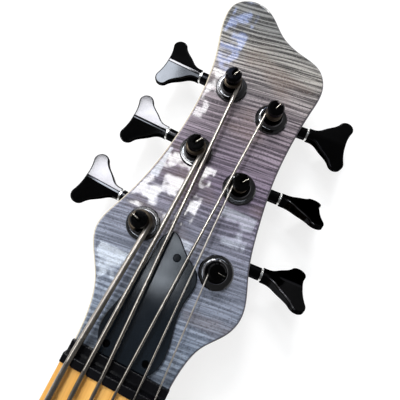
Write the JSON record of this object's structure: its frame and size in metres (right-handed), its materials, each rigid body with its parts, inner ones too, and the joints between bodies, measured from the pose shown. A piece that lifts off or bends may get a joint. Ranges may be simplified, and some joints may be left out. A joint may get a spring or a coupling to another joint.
{
  "type": "electric bass guitar",
  "caption": "Solid-body electric bass guitar with a bolted neck, flamed headstock face, worm-geared tuners, wound strings, pickups, bridge and turning controls.",
  "frame": {"origin": "on the flat back of the body, straight under the saddles' string line", "axes": "+X along the strings from the saddles to the headstock, +Y to the bass side, +Z out of the front"},
  "size_m": [1.2063, 0.3329, 0.0684],
  "materials": {
    "mahogany": "satin stained wood",
    "flamed_maple": "glossy clear coat over charcoal-stained flamed maple",
    "neck_maple": "satin clear coat",
    "board_maple": "gloss clear coat",
    "nickel_steel": "polished",
    "black_dot": "gloss",
    "black_bone": "polished",
    "bright_steel": "turned",
    "black_satin": "satin",
    "black_metal": "black gloss plating",
    "pickup_black": "satin",
    "string_steel": "roundwound",
    "circuit_board": "matte",
    "battery_black": "satin",
    "bright_chrome": "polished",
    "gear_brass": "cut"
  },
  "bodies": {
    "instrument": {"body_core": "mahogany", "body_top": "flamed_maple", "neck": "neck_maple", "headstock_veneer": "flamed_maple", "fingerboard": "board_maple", "frets": "nickel_steel", "position_dots": "black_dot", "nut": "black_bone", "truss_rod": "bright_steel", "truss_rod_cover": "black_satin", "cover_screws": "black_metal", "neck_screws": "black_metal", "neck_ferrules": "black_metal", "neck_pickup": "pickup_black", "bridge_pickup": "pickup_black", "pickup_screws": "black_metal", "bridge_plate": "black_metal", "bridge_saddles": "black_metal", "saddle_screws": "black_metal", "body_screws": "black_metal", "strings": "string_steel", "control_cover": "black_satin", "potentiometers": "bright_steel", "preamp_board": "circuit_board", "battery": "battery_black", "output_jack": "black_metal", "strap_buttons": "black_metal", "tuner_plates": "black_metal", "tuner_bushings": "black_metal", "tuner_washers": "black_metal", "key_rings": "bright_chrome", "tuner_plate_screws": "black_metal"},
    "key_1": {"tuner_key_1": "black_metal", "worm_shaft_1": "bright_steel"},
    "post_1": {"tuner_post_1": "black_metal", "tuner_gear_1": "gear_brass"},
    "key_2": {"tuner_key_2": "black_metal", "worm_shaft_2": "bright_steel"},
    "post_2": {"tuner_post_2": "black_metal", "tuner_gear_2": "gear_brass"},
    "key_3": {"tuner_key_3": "black_metal", "worm_shaft_3": "bright_steel"},
    "post_3": {"tuner_post_3": "black_metal", "tuner_gear_3": "gear_brass"},
    "key_4": {"tuner_key_4": "black_metal", "worm_shaft_4": "bright_steel"},
    "post_4": {"tuner_post_4": "black_metal", "tuner_gear_4": "gear_brass"},
    "key_5": {"tuner_key_5": "black_metal", "worm_shaft_5": "bright_steel"},
    "post_5": {"tuner_post_5": "black_metal", "tuner_gear_5": "gear_brass"},
    "key_6": {"tuner_key_6": "black_metal", "worm_shaft_6": "bright_steel"},
    "post_6": {"tuner_post_6": "black_metal", "tuner_gear_6": "gear_brass"},
    "control_1": {"knob_1": "black_metal"},
    "control_2": {"knob_2": "black_metal"},
    "control_3": {"knob_3": "black_metal"},
    "control_4": {"knob_4": "black_metal"}
  },
  "joints": [
    {"name": "key_1_turn", "type": "hinge", "parent": "instrument", "child": "key_1", "pos_m": [0.9494, 0.04826, 0.02715], "axis": [0.0521, 0.9986, -0.0046], "continuous": true},
    {"name": "post_1_turn", "type": "hinge", "parent": "instrument", "child": "post_1", "pos_m": [0.94033, 0.0234, 0.04872], "axis": [0.0872, 0, 0.9962], "continuous": true},
    {"name": "key_2_turn", "type": "hinge", "parent": "instrument", "child": "key_2", "pos_m": [0.99814, 0.04113, 0.02289], "axis": [0.0174, 0.9998, -0.0015], "continuous": true},
    {"name": "post_2_turn", "type": "hinge", "parent": "instrument", "child": "post_2", "pos_m": [0.98994, 0.0159, 0.04438], "axis": [0.0872, 0, 0.9962], "continuous": true},
    {"name": "key_3_turn", "type": "hinge", "parent": "instrument", "child": "key_3", "pos_m": [1.0436, 0.03955, 0.01891], "axis": [0.0348, 0.9994, -0.003], "continuous": true},
    {"name": "post_3_turn", "type": "hinge", "parent": "instrument", "child": "post_3", "pos_m": [1.03496, 0.0145, 0.04045], "axis": [0.0872, 0, 0.9962], "continuous": true},
    {"name": "key_4_turn", "type": "hinge", "parent": "instrument", "child": "key_4", "pos_m": [1.03631, -0.03927, 0.01955], "axis": [0.0782, -0.9969, -0.0068], "continuous": true},
    {"name": "post_4_turn", "type": "hinge", "parent": "instrument", "child": "post_4", "pos_m": [1.0266, -0.0147, 0.04118], "axis": [0.0872, 0, 0.9962], "continuous": true},
    {"name": "key_5_turn", "type": "hinge", "parent": "instrument", "child": "key_5", "pos_m": [0.98964, -0.04016, 0.02363], "axis": [0.0521, -0.9986, -0.0046], "continuous": true},
    {"name": "post_5_turn", "type": "hinge", "parent": "instrument", "child": "post_5", "pos_m": [0.98057, -0.0153, 0.0452], "axis": [0.0872, 0, 0.9962], "continuous": true},
    {"name": "key_6_turn", "type": "hinge", "parent": "instrument", "child": "key_6", "pos_m": [0.94324, -0.04817, 0.02769], "axis": [0.0608, -0.9981, -0.0053], "continuous": true},
    {"name": "post_6_turn", "type": "hinge", "parent": "instrument", "child": "post_6", "pos_m": [0.93395, -0.0234, 0.04928], "axis": [0.0872, 0, 0.9962], "continuous": true},
    {"name": "knob_1_turn", "type": "hinge", "parent": "instrument", "child": "control_1", "pos_m": [0.072, -0.104, 0.0465], "axis": [0, 0, -1], "range_deg": [-150, 150]},
    {"name": "knob_2_turn", "type": "hinge", "parent": "instrument", "child": "control_2", "pos_m": [0.042, -0.11, 0.0465], "axis": [0, 0, -1], "range_deg": [-150, 150]},
    {"name": "knob_3_turn", "type": "hinge", "parent": "instrument", "child": "control_3", "pos_m": [0.012, -0.113, 0.0465], "axis": [0, 0, -1], "range_deg": [-150, 150]},
    {"name": "knob_4_turn", "type": "hinge", "parent": "instrument", "child": "control_4", "pos_m": [-0.018, -0.113, 0.0465], "axis": [0, 0, -1], "range_deg": [-150, 150]}
  ],
  "couplings": [
    {"joint": "post_1_turn", "follows": "key_1_turn", "ratio": 0.05},
    {"joint": "post_2_turn", "follows": "key_2_turn", "ratio": 0.05},
    {"joint": "post_3_turn", "follows": "key_3_turn", "ratio": 0.05},
    {"joint": "post_4_turn", "follows": "key_4_turn", "ratio": 0.05},
    {"joint": "post_5_turn", "follows": "key_5_turn", "ratio": 0.05},
    {"joint": "post_6_turn", "follows": "key_6_turn", "ratio": 0.05}
  ]
}
